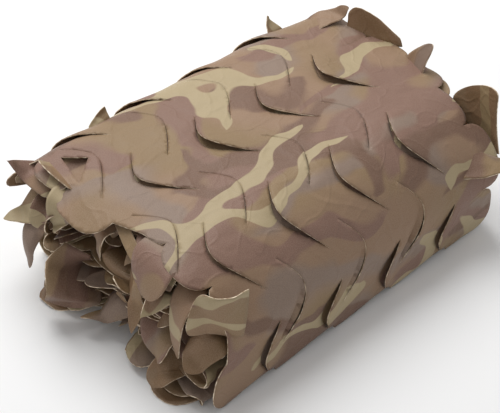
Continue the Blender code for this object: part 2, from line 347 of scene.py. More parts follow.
def endLeaves(side, ply):
    # every leaf along one end of a ply, as one array for each of its values
    chance = random.Random(f"{side} {ply['name']}")
    leaves = []
    count = round(wrapStart / ends["coreLeaf"])
    widths = [1 + ends["widthVary"] * math.sin(2.1 * i + side + ply["shift"]) for i in range(count)]
    start = 0.0
    for i, width in enumerate(widths):
        width *= wrapStart / sum(widths)
        reach = coreReach(start + width / 2, side) + ends["reachVary"] * math.cos(3.9 * i + side)
        reach += ply["reach"] * chance.uniform(*ends["innerReach"])
        notch = reach - chance.uniform(*ends["notchDepth"])
        curl = ends["curlVary"] * chance.uniform(-1.0, 1.0)
        lift = ends["liftVary"] * chance.uniform(-1.0, 1.0)
        hook = ends["hookVary"] * chance.uniform(-1.0, 1.0)
        form = chance.uniform(0.0, 1.0)
        lean = chance.choice(ends["leans"])
        cup = chance.uniform(-ends["cupVary"], ends["cupVary"])
        leaves.append((start, width, reach, notch, curl, form, lean, hook, cup, lift))
        start += width
    table = leavesLeft if side < 0 else leavesRight
    scale = (clothLength - wrapStart) / sum(leaf.width for leaf in table)
    for leaf in table:
        width, drawn = leaf.width * scale, ply["reach"]
        leaves.append((start, width, leaf.reach + drawn, leaf.notch + drawn, *leaf[3:], 0.0))
        start += width
    names = ("start", "width", "reach", "notch", "curl", "form", "lean", "hook", "cup", "lift")
    return dict(zip(names, np.array(leaves).T))


def leafAt(s, leaves):
    at = np.clip(np.searchsorted(leaves["start"], s + 1e-9, side="right") - 1, 0, None)
    return at, np.clip((s - leaves["start"][at]) / leaves["width"][at], 0.0, 1.0)


def edgeBase(s, leaves, side):
    # the line that joins the bottoms of the notches
    at, share = leafAt(s, leaves)
    after = np.minimum(at + 1, len(leaves["notch"]) - 1)
    return leaves["notch"][at] * (1 - share) + leaves["notch"][after] * share - standBack(s, side)


def leafOutline(share, form):
    # 0 at the two ends of share and 1 at its middle, for a leaf from pointed to square
    least, more = ends["flanks"]
    return (1 - np.abs(2 * share - 1) ** (least + more * form)) ** (1 / (1 + ends["blunt"] * form))


def endEdge(s, leaves, side):
    at, share = leafAt(s, leaves)
    base = edgeBase(s, leaves, side)
    tip = np.maximum(leaves["reach"][at] - standBack(s, side), base)
    return base + (tip - base) * leafOutline(share ** leaves["lean"][at], leaves["form"][at])


def leafValue(s, past, leaves, name):
    # a leaf's own value towards its tip, and one eased from leaf to leaf at its root
    values = leaves[name]
    middle = leaves["start"] + leaves["width"] / 2
    before = np.clip(np.searchsorted(middle, s) - 1, 0, len(middle) - 2)
    share = smooth((s - middle[before]) / (middle[before + 1] - middle[before]))
    eased = values[before] * (1 - share) + values[before + 1] * share
    own = smooth(past / ends["own"])
    return eased * (1 - own) + values[leafAt(s, leaves)[0]] * own


# A "<" cut has its tip towards -X and its leaf behind it, towards +X, and a ">" cut the other way round.
# Above and below are the lengths of its two arms along s, and widest is where along s it opens widest.
Cut = namedtuple("Cut", "u s above below side gape lift round widest dip")
cutting = {
    "step": 0.0745,
    "rowStep": 0.108,
    "slope": 0.90,
    "vary": 0.3,  # from cut to cut, as a share
    "gapeReach": 0.015,
    "slit": 0.0002,  # gape of a closed cut
    "liftReach": 0.020,
    "liftStretch": 0.6,
    "liftTaper": 2.5,
    "leafWidth": 0.080,
    "dipReach": 0.008,
    "dipLength": 0.022,
    "dipTaper": 4.0,
    "openDip": 0.006,  # under the three-cornered opening
    "openReach": 0.016,
    "seam": 0.00008,  # a point this near belongs to the leaf's edge
    "edgeMargin": 0.004,
    "endMargin": 0.026,
    "deepGape": 0.0022,  # past which the inner ply is open too
    "innerWider": 0.003,
    "innerStep": 0.0048,
}

# The "<" cuts and then the ">" cuts, with one value for each row.
cutKinds = [
    {
        "side": 1,
        "columns": range(5),
        "first": (-0.119, -0.036),
        "shift": (0.014, 0.0, 0.014, 0.0),
        "above": 0.034,
        "below": 0.045,
        "gape": (0.0010, 0.0010, 0.0014, 0.0019),
        "widest": (0.006, 0.006, 0.006, -0.008),
        "lift": (0.0042, 0.0042, 0.0042, 0.0042),
        "round": (0.003, 0.012, 0.012, 0.012),
        "dip": (0.0018, 0.0018, 0.0018, 0.0018),
        "phases": (5.3, 2.9),
    },
    {
        "side": -1,
        "columns": range(-1, 4),
        "first": (0.0995, 0.020),
        "shift": (0.0, 0.009, 0.018),
        "above": 0.030,
        "below": 0.046,
        "gape": (0.0008, 0.0014, 0.0042),
        "widest": (0.028, 0.028, 0.028),
        "lift": (0.0007, 0.0007, -0.0016),  # below 0 the leaf dips, and the cloth beside it stands out
        "round": (0.012, 0.012, 0.012),
        "dip": (0.0005, 0.0010, 0.0032),
        "phases": (3.7, 4.1),
    },
]

# The free hem runs in shallow steps, one for every cut of a row. Rise and end are shares of a step.
hemming = {"half": 0.144, "depth": 0.005, "phase": 0.35, "rise": 0.9, "end": 0.94}

# The leaf that stands up near the left end has left this three-cornered opening, given as u and y.
openCorners = [(-0.147, 0.098), (-0.130, 0.080), (-0.156, 0.062)]


def cutsOfWrap():
    cuts = []
    limit = bundle["length"] / 2 - cutting["endMargin"]
    for kind in cutKinds:
        for row, shift in enumerate(kind["shift"]):
            s = topStart + kind["first"][1] + row * cutting["rowStep"]
            below = min(kind["below"], clothLength - cutting["edgeMargin"] - s)
            for column in kind["columns"]:
                u = kind["first"][0] + kind["side"] * column * cutting["step"] - shift
                vary = 1 + cutting["vary"] * math.sin(kind["phases"][0] * row + kind["phases"][1] * column)
                gape, lift, dip = (kind[name][row] * vary for name in ("gape", "lift", "dip"))
                rest = (kind["side"], gape, lift, kind["round"][row], kind["widest"][row], dip)
                if abs(u) < limit:
                    cuts.append(Cut(u, s, kind["above"], below, *rest))
    return cuts


def cutLine(cut, run):
    line = cut.u + cut.side * (np.sqrt(cut.round**2 + (cutting["slope"] * run) ** 2) - cut.round)
    middle, half = (cut.below - cut.above) / 2, (cut.below + cut.above) / 2
    return line, np.clip(1 - ((run - middle) / half) ** 2, 0.0, 1.0)


def cutHole(cut, step):
    # the opening's outline: down the leaf's edge and back up the other edge
    count = max(8, round((cut.above + cut.below) / step))
    runs = np.linspace(-1.0, 1.0, 2 * (count // 2) + 1)
    runs = np.where(runs < 0, runs * cut.above, runs * cut.below)
    line, share = cutLine(cut, runs)
    gape = cut.gape * np.exp(-(((runs - cut.widest) / cutting["gapeReach"]) ** 2)) + cutting["slit"]
    leafEdge = list(zip(line, cut.s + runs))
    opened = line - cut.side * gape * np.minimum(cutting["dipTaper"] * share, 1.0)
    otherEdge = list(zip(opened, cut.s + runs))[1:-1]
    return leafEdge + otherEdge[::-1]


def wideCut(cut):
    # the same opening in the inner ply, a little wider
    grown = cutting["innerWider"]
    return cut._replace(u=cut.u + cut.side * grown / 2, gape=cut.gape + grown)


def openHole():
    # the three-cornered opening, with points along its sides
    steps = 8
    top = [(u, topStart + bundle["width"] / 2 - bundle["backShoulder"] - y) for u, y in openCorners]
    hole = []
    for (u1, s1), (u2, s2) in zip(top, top[1:] + top[:1]):
        hole += [(u1 + (u2 - u1) * i / steps, s1 + (s2 - s1) * i / steps) for i in range(steps)]
    return hole


def cutLift(u, s, ply):
    # leaves stand out at their cuts, and the cloth beside them and under them dips
    lift = np.zeros_like(u)
    seam = -cutting["seam"]
    for cut in cutsOfWrap():
        run = s - cut.s
        line, share = cutLine(cut, run)
        beside = cut.side * (u - line)
        stretched = beside**2 + cutting["liftStretch"] * (run - cut.widest / 2) ** 2
        taper = np.minimum(cutting["liftTaper"] * share, 1.0)
        leaf = abs(cut.lift) * taper * np.exp(-stretched / cutting["liftReach"] ** 2)
        near = (beside / cutting["dipReach"]) ** 2 + ((run - cut.widest) / cutting["dipLength"]) ** 2
        dip = cut.dip * np.minimum(cutting["dipTaper"] * share, 1.0) * np.exp(-near)
        if cut.lift < 0:
            beside = -beside
        if ply["cuts"]:
            lift += np.where((share > 0) & (beside > seam) & (beside < cutting["leafWidth"]), leaf, 0.0)
            lift -= np.where((share > 0) & (beside <= seam), dip, 0.0)
        else:
            lift -= dip
    if not ply["cuts"]:
        u0, s0 = np.mean(openHole(), axis=0)
        lift -= cutting["openDip"] * np.exp(-((u - u0) ** 2 + (s - s0) ** 2) / cutting["openReach"] ** 2)
    return lift


outerPly = {
    "name": "outer",
    "offset": 0.0006,  # outwards from the fold path, in the core
    "wrapOffset": 0.0006,
    "floor": 0.0006,
    "reach": 0.0,
    "shift": 0.0,
    "wrapStep": 0.0032,
    "coreStep": 0.0042,
    "cuts": cutsOfWrap(),
    "holes": [openHole()],
}
innerPly = {
    "name": "inner",
    "offset": -0.0036,
    "wrapOffset": -0.0012,
    "floor": 0.0020,
    "reach": -0.008,
    "shift": 2.3,
    "wrapStep": 0.0070,
    "coreStep": 0.0048,
    "cuts": [],
    "holes": [
        cutHole(wideCut(cut), cutting["innerStep"]) for cut in cutsOfWrap() if cut.gape > cutting["deepGape"]
    ],
}

# How the flat cloth is divided, the last three as shares of a ply's step.
grid = {"coarse": 11, "rowShare": 0.87, "rowMargin": 0.6, "clear": 0.55}


def coreRows(ply):
    # s of every row of points in the core and on the lowest run
    rows = []
    for section in sections:
        if section.start > footStart - 1e-6:
            break
        steps = bundle["turnSteps"] if section.turn else math.ceil(section.length / ply["coreStep"])
        rows += [round(section.start + section.length * i / steps, 6) for i in range(steps)]
    return rows + [round(footStart, 6)]


def edgeSamples(leaves, rows, step):
    length = clothLength - footStart
    count = math.ceil(length / step)
    samples = list(rows) + [round(footStart + length * i / count, 6) for i in range(1, count + 1)]
    for start, width in zip(leaves["start"], leaves["width"]):
        for share in ends["edgeShares"]:
            s = start + width * share
            if min(abs(s - other) for other in samples) > ends["nearest"]:
                samples.append(s)
    return sorted(samples)


def inside(points, loop):
    x, y = points[:, 0], points[:, 1]
    found = np.zeros(len(points), bool)
    for (x1, y1), (x2, y2) in zip(loop, loop[1:] + loop[:1]):
        if y1 != y2:
            found ^= ((y1 > y) != (y2 > y)) & (x < (x2 - x1) * (y - y1) / (y2 - y1) + x1)
    return found


def rowColumns(left, right, step):
    # points across one core row: fine near its ends and coarse between them
    start = ends["root"] - ends["coreEdge"]
    fine = np.arange(start, ends["farthest"], step)
    margin = grid["rowMargin"] * step
    across = [-u for u in fine[::-1] if -u > left + margin]
    across += list(np.linspace(-start, start, grid["coarse"])[1:-1])
    return across + [u for u in fine if u < right - margin]


def wrapPoints(step, fixed, outline, holes):
    # an even grid over the wrap, clear of its edges and cuts
    rows = np.arange(footStart + step, clothLength, step * grid["rowShare"])
    points = []
    for i, s in enumerate(rows):
        across = np.arange(-ends["farthest"], ends["farthest"], step) + (step / 2 if i % 2 else 0.0)
        points.append(np.stack([across, np.full_like(across, s)], axis=1))
    points = np.concatenate(points)
    keep = inside(points, outline)
    for hole in holes:
        keep &= ~inside(points, hole)
    points = points[keep]
    tree = KDTree(len(fixed))
    for i, point in enumerate(fixed):
        tree.insert((point[0], point[1], 0.0), i)
    tree.balance()
    near = np.array([tree.find((u, s, 0.0))[2] for u, s in points])
    return points[near > grid["clear"] * step]


def flatCloth(ply, leaves):
    rows = coreRows(ply)
    step = ply["wrapStep"]
    half = bundle["length"] / 2
    samples = {side: np.array(edgeSamples(leaves[side], rows, step)) for side in (-1, 1)}
    left = [(-half - e, s) for e, s in zip(endEdge(samples[-1], leaves[-1], -1), samples[-1])]
    right = [(half + e, s) for e, s in zip(endEdge(samples[1], leaves[1], 1), samples[1])]
    across = np.arange(-hemming["half"], hemming["half"] + 0.002, step)
    place = (across / cutting["step"] + hemming["phase"]) % 1.0
    drawn = hemming["depth"] * smooth(place / hemming["rise"]) * (place < hemming["end"])
    hem = list(zip(across, clothLength - drawn))
    start = ends["root"] - ends["coreEdge"]
    first = [(u, samples[1][0]) for u in np.linspace(start, -start, grid["coarse"])]
    outline = left + hem + right[::-1] + first
    holes = [cutHole(cut, step) for cut in ply["cuts"]] + ply["holes"]
    points, edges = [], []
    for loop in [outline] + holes:
        start = len(points)
        points += loop
        edges += [(start + i, start + (i + 1) % len(loop)) for i in range(len(loop))]
    points += [tuple(p) for p in wrapPoints(step, points, outline, holes)]
    columns = {}
    for i, (u, s) in enumerate(outline):
        columns.setdefault(round(float(s), 6), []).append((u, i))
    for s in rows[1:]:
        across = sorted(columns[s])
        for u in rowColumns(across[0][0], across[-1][0], ply["coreStep"]):
            across.append((u, len(points)))
            points.append((u, s))
        across.sort()
        edges += [(a[1], b[1]) for a, b in zip(across, across[1:])]
    result = delaunay_2d_cdt([Vector(p) for p in points], edges, [], 0, 1e-7, False)
    flat = np.array([tuple(p) for p in result[0]])
    faces = np.array(result[2])
    middle = flat[faces].mean(axis=1)
    keep = inside(middle, outline)
    for hole in holes:
        keep &= ~inside(middle, hole)
    used, faces = np.unique(faces[keep], return_inverse=True)
    return flat[used], faces.reshape(-1, 3)[:, ::-1]


def leafForm(flat, leaves, ply):
    # curl, lift, sway and hook of every point
    u, s = flat[:, 0], flat[:, 1]
    values = {name: np.zeros(len(flat)) for name in ("curl", "lift", "sway", "hook")}
    for side in (-1, 1):
        here = (u < 0) == (side < 0)
        own = leaves[side]
        past = np.abs(u[here]) - bundle["length"] / 2 - edgeBase(s[here], own, side)
        at, share = leafAt(s[here], own)
        free = smooth(past / ends["free"])
        across = (share - 0.5) * own["width"][at]
        values["curl"][here] = leafValue(s[here], past, own, "curl")
        values["sway"][here] = leafValue(s[here], past, own, "lift") * free
        values["hook"][here] = leafValue(s[here], past, own, "hook") * free**2
        crease = 0.0
        for k in (0, 1):
            fold = across + np.sin(2.3 * at + 2 * k) * (past - ends["own"])
            amount = ends["crease"] * np.sin(4.7 * at + side + 3 * k)
            crease = crease + amount * (np.sqrt(fold**2 + ends["creaseRound"] ** 2) - ends["creaseSink"])
        crease = np.where(s[here] < footStart, crease, 0.0)
        values["lift"][here] = (own["cup"][at] / 2 * (across**2 - own["width"][at] ** 2 / 12) + crease) * free
    values["curl"] = np.where(np.abs(values["curl"]) < 0.001, 0.001, values["curl"])
    wrapped = smooth((s - footStart + ends["blend"]) / ends["blend"])
    values["lift"] += ply["offset"] + (ply["wrapOffset"] - ply["offset"]) * wrapped + cutLift(u, s, ply)
    return values


settled = {
    "Leaf Root": ends["root"],
    "Crown": 0.035,
    "End Drop": 0.10,
    "Bulge": 0.004,
    "End Wave": 0.0060,
    "Skirt Flare": 0.007,
    "Crumple": 0.0016,
    "Crease": 0.0004,
    "Ripple": 0.0003,
    "Floor": 0.0006,
    "Print Shift": 0.0,
}
middleOfBox = (-0.00037, -0.00172)  # of the settled bundle, which becomes the origin
waves = {
    "crumpleSize": 0.034,
    "ridgeScale": 14.0,
    "ridgeNarrowing": 22.0,
    "rippleScale": 90.0,
    "resting": 0.004,  # below this height nothing is crumpled
    "restingFade": 0.012,
    "dropFrom": 0.55,  # share of the half length
    "dropGain": 2.2,
    "endFrom": 0.10,
    "endRun": 0.10,
    "liftedAt": 0.035,
    "waveAcross": 0.030,
    "waveUp": 0.014,
    "wavePhase": (1.3, 0.6),
    "lean": 0.006,
    "leanAcross": 0.045,
    "leanUp": 0.050,
    "farthest": 1.2,  # where shares of the length stop
}


def foldTree():
    tree = bpy.data.node_groups.new("lay cloth on its folds", "GeometryNodeTree")
    face = tree.interface
    face.new_socket("Geometry", in_out="INPUT", socket_type="NodeSocketGeometry")
    face.new_socket("Fold Path", in_out="INPUT", socket_type="NodeSocketObject")
    face.new_socket("Cloth Material", in_out="INPUT", socket_type="NodeSocketMaterial")
    for name, value in settled.items():
        face.new_socket(name, in_out="INPUT", socket_type="NodeSocketFloat").default_value = value
    face.new_socket("Geometry", in_out="OUTPUT", socket_type="NodeSocketGeometry")
    build = Tree(tree)
    given = build.node("NodeGroupInput", {}, {})
    size = {name: Wire(given.outputs[name]) for name in settled}

    def attribute(name):
        found = build.node("GeometryNodeInputNamedAttribute", {"data_type": "FLOAT"}, {"Name": name})
        return Wire(found.outputs[0])

    flat = build.node("GeometryNodeInputPosition", {}, {}).outputs[0]
    printed = build.vectors("ADD", flat, build.join(0.0, 0.0, size["Print Shift"]))
    kept = build.node(
        "GeometryNodeStoreNamedAttribute",
        {"data_type": "FLOAT_VECTOR", "domain": "POINT"},
        {"Geometry": given.outputs["Geometry"], "Name": "flat", "Value": printed},
    )
    u, s, _ = build.split(flat)
    folds = {"Object": given.outputs["Fold Path"]}
    path = build.node("GeometryNodeObjectInfo", {"transform_space": "ORIGINAL"}, folds)
    along = build.node(
        "GeometryNodeSampleCurve",
        {"mode": "LENGTH", "data_type": "FLOAT"},
        {"Curves": path.outputs["Geometry"], "Length": s},
    )
    _, pathY, pathZ = build.split(along.outputs["Position"])
    _, ahead, upward = build.split(along.outputs["Tangent"])

    # leaves bend from their root in an arc
    side = u.sign()
    past = (u.size() - size["Leaf Root"]).within()
    curl = attribute("curl")
    x = side * (u.size() - past + (curl * past).sin() / curl)
    out = (1.0 - (curl * past).cos()) / curl + attribute("lift")

    # crumple: soft waves and a few narrow ridges, none on the run that lies on the surface
    w = waves
    soft = build.noise(flat, 1.0 / w["crumpleSize"], 1.5) - 0.5
    ridge = (build.noise(flat, w["ridgeScale"], 1.0, (3.1, 0.7, 5.0)) - 0.5).size()
    clear = ((pathZ - w["resting"]) / w["restingFade"]).within()
    crumple = size["Crumple"] * soft - size["Crease"] * (1.0 - ridge * w["ridgeNarrowing"]).within()
    ripple = build.noise(flat, w["rippleScale"], 2.0, (2.2, 8.1, 0.0)) - 0.5
    out = out + (crumple + size["Ripple"] * ripple) * clear
    y = pathY + upward * out + ahead * attribute("hook")
    raised = ((pathZ - bundle["lowest"]) / bundle["pitch"]).within()
    z = pathZ - ahead * out + upward * attribute("hook") + attribute("sway") * raised

    # the settled form: crowned, lower at its ends, with bulging sides and wavy ends
    far = (x.size() / (bundle["length"] / 2)).within(0.0, w["farthest"])
    across = (y.size() / (bundle["width"] / 2)).within()
    up = (z / bundle["height"]).within()
    drop = (far - w["dropFrom"]).within()
    crown = size["Crown"] * (1.0 - far * far) * (1.0 - across * across)
    rise = crown - size["End Drop"] * drop * drop * w["dropGain"]
    end = ((x.size() - w["endFrom"]) / w["endRun"]).within()
    end = end * end
    acrossPhase, upPhase = w["wavePhase"]
    wave = size["End Wave"] * end * (y / w["waveAcross"] + acrossPhase * x.sign()).sin()
    wave = wave * (z / w["waveUp"] + upPhase).sin()
    lifted = ((z - bundle["lowest"]) / w["liftedAt"]).within()
    flare = size["Skirt Flare"] * (1.0 - up) * (1.0 - up)
    flare = flare * (0.5 - x / bundle["length"]).within(0.0, w["farthest"])
    front = (y * -1000.0).within()  # 1 in front of the middle and 0 behind it
    bulge = y.sign() * size["Bulge"] * (up * math.pi).sin() * across * across
    lean = w["lean"] * end * x.sign() * (y / w["leanAcross"] + z / w["leanUp"]).sin() * lifted
    height = z + (z - bundle["lowest"]) * rise + wave * lifted
    place = build.join(
        x + lean - middleOfBox[0],
        y + bulge - front * flare * across.power(4.0) - middleOfBox[1],
        height.atLeast(size["Floor"]),
    )
    moved = build.node("GeometryNodeSetPosition", {}, {"Geometry": kept.outputs[0], "Position": place})
    solid = build.node("GeometryNodeRealizeInstances", {}, {"Geometry": moved.outputs[0]})
    dressed = {"Geometry": solid.outputs[0], "Material": given.outputs["Cloth Material"]}
    coloured = build.node("GeometryNodeSetMaterial", {}, dressed)
    build.node("NodeGroupOutput", {}, {0: coloured.outputs[0]})
    return tree


def setInputs(modifier, values):
    # sockets are set by identifier, before the object is evaluated
    for item in modifier.node_group.interface.items_tree:
        if item.item_type == "SOCKET" and item.in_out == "INPUT" and item.name in values:
            modifier[item.identifier] = values[item.name]


def linear(red, green, blue):
    # from the 0-255 values of a picture
    parts = [c / 255 for c in (red, green, blue)]
    return [c / 12.92 if c <= 0.04045 else ((c + 0.055) / 1.055) ** 2.4 for c in parts] + [1.0]


# Four colours of the print are winding bands, laid one after the other over tan and khaki. Winding is the
# field that a band follows, and level says how often it is interrupted.
Band = namedtuple("Band", "colour winding scale width level edge offset")
camouflage = {
    "tan": linear(141, 113, 90),
    "khaki": linear(134, 110, 80),
    "grey": linear(132, 112, 99),
    "mauve": linear(126, 96, 83),
    "dark": linear(112, 84, 69),
    "cream": linear(167, 150, 118),
    "spots": linear(210, 192, 168),
    "spotting": 0.11,
    "reverse": linear(128, 98, 58),
    "reversePrint": 0.38,  # how much of the print shows on the reverse
    # painted highlight: the cut edge's colour is made lighter than the cloth so that the thin rim shows as a
    # light line
    "edge": linear(240, 222, 196),
    "edgeShade": linear(160, 134, 108),
    "bands": [
        Band("grey", 1, 6.0, 0.060, 0.47, 0.030, (5.0, 1.0, 0.0)),
        Band("mauve", 0, 7.0, 0.060, 0.48, 0.014, (8.0, 3.0, 0.0)),
        Band("dark", 1, 9.0, 0.050, 0.55, 0.020, (1.0, 9.0, 0.0)),
        Band("cream", 0, 8.0, 0.036, 0.55, 0.003, (2.5, 12.0, 0.0)),
    ],
    "windings": [  # scale, amount and offset of the warp, then angle and stretch
        (14.0, 0.050, (0.3, 0.9, 0.0), 0.5, 1.8),
        (20.0, 0.035, (3.3, 1.9, 0.0), -0.7, 1.6),
    ],
    "groundScale": 10.0,
    "detail": 0.6,
    "interruption": 14.0,
    "crossScale": 0.8,
    "roughness": 0.55,
    "wear": 0.22,
    "wearScale": 30.0,
    "edgeRoughness": 0.8,
    "sheen": 0.05,
    "specular": 0.25,
    "weaveStep": 0.0011,
    "weaveStrength": 0.6,
    "grainHeight": 0.00006,
    "grainScale": 900.0,
    "spotScale": 1100.0,
    "frayScale": 180.0,
    "creases": [  # scale, width and offset
        (9.0, 0.020, (3.0, 5.0, 0.0)),
        (16.0, 0.030, (7.0, 1.0, 0.0)),
        (24.0, 0.030, (2.0, 2.0, 0.0)),
    ],
    "creaseHeight": 0.00045,
    "puckerHeight": 0.0020,
    "puckerScale": 55.0,
}


def newMaterial(name):
    material = bpy.data.materials.new(name)
    material.use_nodes = True
    return material, Tree(material.node_tree), material.node_tree.nodes["Principled BSDF"]


def flatPlace(build):
    return build.node("ShaderNodeAttribute", {"attribute_name": "flat"}, {}).outputs["Vector"]


def camouflageColour(build, flat):
    # flowing shapes: each is a stretch of a band, cut short by a second field
    c = camouflage

    def moved(scale, amount, offset):
        warp = build.noise(flat, scale, 2.0, offset, "Color")
        centred = build.vectors("SUBTRACT", warp, (0.5, 0.5, 0.5))
        return build.vectors("MULTIPLY_ADD", centred, (amount, amount, 0.0), flat)

    def turned(place, angle, stretch):
        values = {"Vector": place, "Rotation": (0.0, 0.0, angle), "Scale": (1.0, stretch, 1.0)}
        return build.node("ShaderNodeMapping", {}, values).outputs[0]

    windings = [turned(moved(*warp), angle, stretch) for *warp, angle, stretch in c["windings"]]
    detail = c["detail"]
    ground = build.noise(flat, c["groundScale"], detail, (2.0, 7.0, 0.0)).eased(0.40, 0.62)
    colour = build.mix(ground, c["tan"], c["khaki"])
    for band in c["bands"]:
        place, crossed = windings[band.winding], (band.offset[1], band.offset[0], 0.0)
        winding = (build.noise(place, band.scale, detail, band.offset) - 0.5).size()
        second = build.noise(place, band.scale * c["crossScale"], detail, crossed)
        missing = (band.level - second).atLeast(0.0)
        share = band.width - winding - c["interruption"] * missing * missing
        colour = build.mix(share.eased(-band.edge, band.edge), colour, c[band.colour])
    return colour


def weave(build, flat):
    # a plain weave that shows as fine grain, with pressed creases and small puckers, as bump in metres
    c = camouflage
    u, s, _ = build.split(flat)
    threads = 2 * math.pi / c["weaveStep"]
    grain = (u * threads).sin() * (s * threads).sin() * 0.5 + build.noise(flat, c["grainScale"], 1.0)
    height = grain * c["grainHeight"]
    for scale, width, offset in c["creases"]:
        line = (build.noise(flat, scale, 1.0, offset) - 0.5).size()
        height = height + (1.0 - line / width).within() * c["creaseHeight"]
    height = height + build.noise(flat, c["puckerScale"], 2.0, (9.0, 4.0, 0.0)) * c["puckerHeight"]
    values = {"Strength": c["weaveStrength"], "Distance": 1.0, "Height": height}
    return build.node("ShaderNodeBump", {}, values).outputs[0]


def spotted(build, flat, colour):
    # single threads take the dye unevenly
    grain = build.noise(flat, camouflage["spotScale"], 1.0, (0.0, 3.0, 0.0)).eased(0.3, 0.7)
    return build.mix(camouflage["spotting"] * grain, colour, camouflage["spots"])


def clothMaterial():
    material, build, shader = newMaterial("camouflage print")
    flat = flatPlace(build)
    plug(shader.inputs["Base Color"], spotted(build, flat, camouflageColour(build, flat)))
    worn = build.noise(flat, camouflage["wearScale"], 3.0, (6.0, 2.0, 1.0))
    plug(shader.inputs["Roughness"], camouflage["roughness"] + camouflage["wear"] * (worn - 0.5))
    plug(shader.inputs["Normal"], weave(build, flat))
    shader.inputs["Sheen Weight"].default_value = camouflage["sheen"]
    shader.inputs["Specular IOR Level"].default_value = camouflage["specular"]
    return material


def reverseMaterial():
    # the print shows faintly on the reverse
    material, build, shader = newMaterial("reverse of the cloth")
    flat = flatPlace(build)
    colour = build.mix(camouflage["reversePrint"], camouflage["reverse"], camouflageColour(build, flat))
    plug(shader.inputs["Base Color"], spotted(build, flat, colour))
    plug(shader.inputs["Normal"], weave(build, flat))
    shader.inputs["Roughness"].default_value = camouflage["roughness"]
    return material


def edgeHighlightMaterial():
    # a light cut edge: partly the cloth's own paler cut edge and partly painted highlight along the thin rim,
    # broken into patches by fraying
    material, build, shader = newMaterial("cut edge with painted highlight")
    frayedHighlight = build.noise(flatPlace(build), camouflage["frayScale"]).eased(0.35, 0.65)
    plug(shader.inputs["Base Color"], build.mix(frayedHighlight, camouflage["edgeShade"], camouflage["edge"]))
    shader.inputs["Roughness"].default_value = camouflage["edgeRoughness"]
    return material


sheetThickness = 0.0010
materials = [clothMaterial(), reverseMaterial(), edgeHighlightMaterial()]
print("materials made")


# Leaves that stand free at the two ends and at the top of the back. Root, middle and tip are places in
# metres, and across is the direction of the leaf's width. Form is the width at its tip as a share, rounded at
# its corners, and neck the width at its root. Skew moves the tip sideways, as a share of the width, twist is
# in radians, cup is its bend across in 1/m, crease is a fold along it, and turned puts its reverse outside.
Loose = namedtuple(
    "Loose", "root middle tip across width form neck skew twist cup crease turned", defaults=(0.0, False)
)
looseLeaves = {
    "steps": 22,
    "columns": 14,
    "tipCrowding": 1.7,  # rows of points lie closer towards the tip
    "lastRow": 0.998,
    "shoulder": 0.35,  # of the length, where the neck ends and the sides begin
    "rounding": (0.10, 0.30),
    "squareRounding": 0.16,
    "creases": [(0.0, 0.7, 1.0), (1.2, 0.45, -1.1), (-1.0, 0.75, 0.9), (2.2, 0.9, -0.8)],
    "creaseRound": 0.0007,
    "wrinkle": 0.0004,
    "wrinkleWidth": 0.006,
    "leastCup": 0.01,
    "floor": 0.0024,
    "limits": (0.204, 0.134),  # x and y that a leaf drawn by chance stays within
    # how far leaves reach at the left end's foot, as y and -x, and how much a point's height moves it there
    "footY": (-0.139, -0.117, -0.087, -0.078, -0.045, -0.029, -0.002, 0.006, 0.037, 0.054, 0.096, 0.128),
    "footX": (0.169, 0.179, 0.196, 0.197, 0.172, 0.176, 0.158, 0.186, 0.168, 0.200, 0.173, 0.156),
    "footShift": 0.82,
    "strip": 0.400,  # width of the flat strip that all the leaves are cut from
    "stripFilled": 0.8,  # share of the strip that they fill
}
